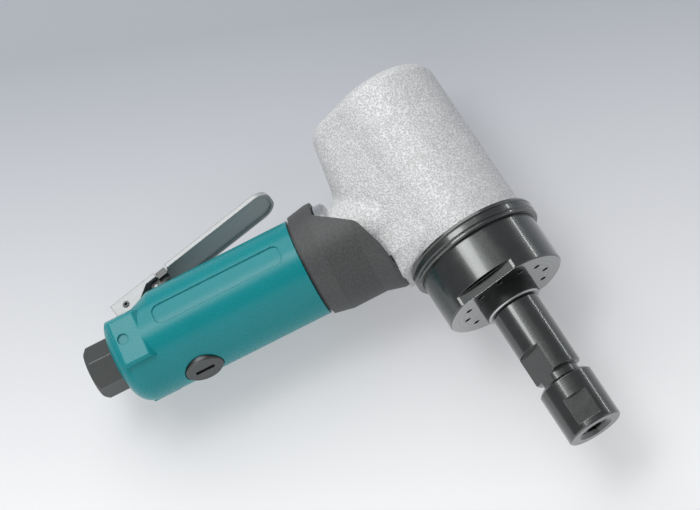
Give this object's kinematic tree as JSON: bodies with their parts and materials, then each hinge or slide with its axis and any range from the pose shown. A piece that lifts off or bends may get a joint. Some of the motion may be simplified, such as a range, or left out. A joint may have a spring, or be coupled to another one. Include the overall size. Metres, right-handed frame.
{
  "type": "right-angle air die grinder",
  "caption": "Right-angle air die grinder with a sprung throttle lever, lock-off latch, flow regulator, cast motor head and a collet that holds a shank.",
  "frame": {"origin": "on the spindle axis, at the collet's nose", "axes": "-Y along the spindle axis out of the collet, +X along the handle from the air inlet towards the head (the handle leans 7 degrees), +Z across the tool: it lies on its side, and Z = 0 holds both axes"},
  "size_m": [0.1808, 0.1617, 0.0542],
  "materials": {
    "handle_moulding": "teal moulded plastic with a fine satin grain",
    "collar_moulding": "dark grey moulded plastic, fine matte grain",
    "cast_aluminium": "blasted casting with a coarse pale speckle",
    "black_steel": "blackened turned steel, satin",
    "dark_steel": "dark grey phosphated steel",
    "lever_steel": "plated pressed steel, satin",
    "bright_steel": "bright machined steel",
    "bearing_steel": "ground and polished bearing steel",
    "brass": "turned brass",
    "seal_rubber": "black nitrile rubber",
    "felt": "grey sintered felt",
    "vane_laminate": "brown fibre laminate"
  },
  "bodies": {
    "body": {"handle_housing": "handle_moulding", "inlet_bushing": "dark_steel", "inlet_screen": "bright_steel", "inlet_o_ring": "seal_rubber", "valve_bush": "brass", "valve_seat": "seal_rubber", "valve_spring": "bright_steel", "lever_pin": "bright_steel", "grip_collar": "collar_moulding", "coupling_ring": "bright_steel", "motor_housing": "cast_aluminium", "neck_o_ring": "seal_rubber", "lock_ring": "black_steel", "exhaust_cap": "black_steel", "muffler_felt": "felt", "bearing_sleeve": "black_steel", "bearing_clip": "bright_steel", "front_end_plate": "bright_steel", "motor_cylinder": "bright_steel", "rear_end_plate": "bright_steel", "disc_spring": "bright_steel", "dowel_pin": "bright_steel", "nose_bearing_outer_ring": "bearing_steel", "front_bearing_outer_ring": "bearing_steel", "rear_bearing_outer_ring": "bearing_steel"},
    "spindle": {"spindle": "black_steel", "collet": "dark_steel", "rotor": "bright_steel", "vanes": "vane_laminate", "rotor_spacer": "bright_steel", "nose_bearing_inner_ring": "bearing_steel", "nose_bearing_balls": "bearing_steel", "front_bearing_inner_ring": "bearing_steel", "front_bearing_balls": "bearing_steel", "rear_bearing_inner_ring": "bearing_steel", "rear_bearing_balls": "bearing_steel"},
    "cap": {"collet_cap": "black_steel"},
    "lever": {"throttle_lever": "lever_steel", "latch_pin": "bright_steel"},
    "latch": {"lock_off_latch": "black_steel"},
    "valve": {"valve_stem": "bright_steel"},
    "regulator": {"flow_regulator": "dark_steel", "regulator_o_ring": "seal_rubber"}
  },
  "joints": [
    {"name": "spindle_spin", "type": "hinge", "parent": "body", "child": "spindle", "pos_m": [0, 0, 0], "axis": [0, 1, 0], "continuous": true},
    {"name": "collet_cap_turn", "type": "hinge", "parent": "spindle", "child": "cap", "pos_m": [0, 0, 0], "axis": [0, 1, 0], "range_deg": [0, 180]},
    {"name": "throttle", "type": "hinge", "parent": "body", "child": "lever", "pos_m": [-0.12713, 0.14189, -0.00351], "axis": [-0.0243, -0.1979, -0.9799], "range_deg": [0, 6], "stiffness_Nm_per_rad": 1},
    {"name": "latch_swing", "type": "hinge", "parent": "lever", "child": "latch", "pos_m": [-0.11355, 0.14357, -0.00419], "axis": [-0.0243, -0.1979, -0.9799], "range_deg": [0, 36]},
    {"name": "valve_slide", "type": "slide", "parent": "body", "child": "valve", "axis": [-0.1194, -0.9726, 0.1994], "range_m": [0, 0.002], "deforming": ["valve_spring"]},
    {"name": "regulator_turn", "type": "hinge", "parent": "body", "child": "regulator", "pos_m": [-0.11361, 0.10261, 0.00409], "axis": [0.1194, 0.9726, -0.1994], "range_deg": [0, 90]}
  ],
  "couplings": [
    {"joint": "latch_swing", "follows": "throttle", "ratio": 6},
    {"joint": "valve_slide", "follows": "throttle", "m_per_rad": 0.019}
  ]
}
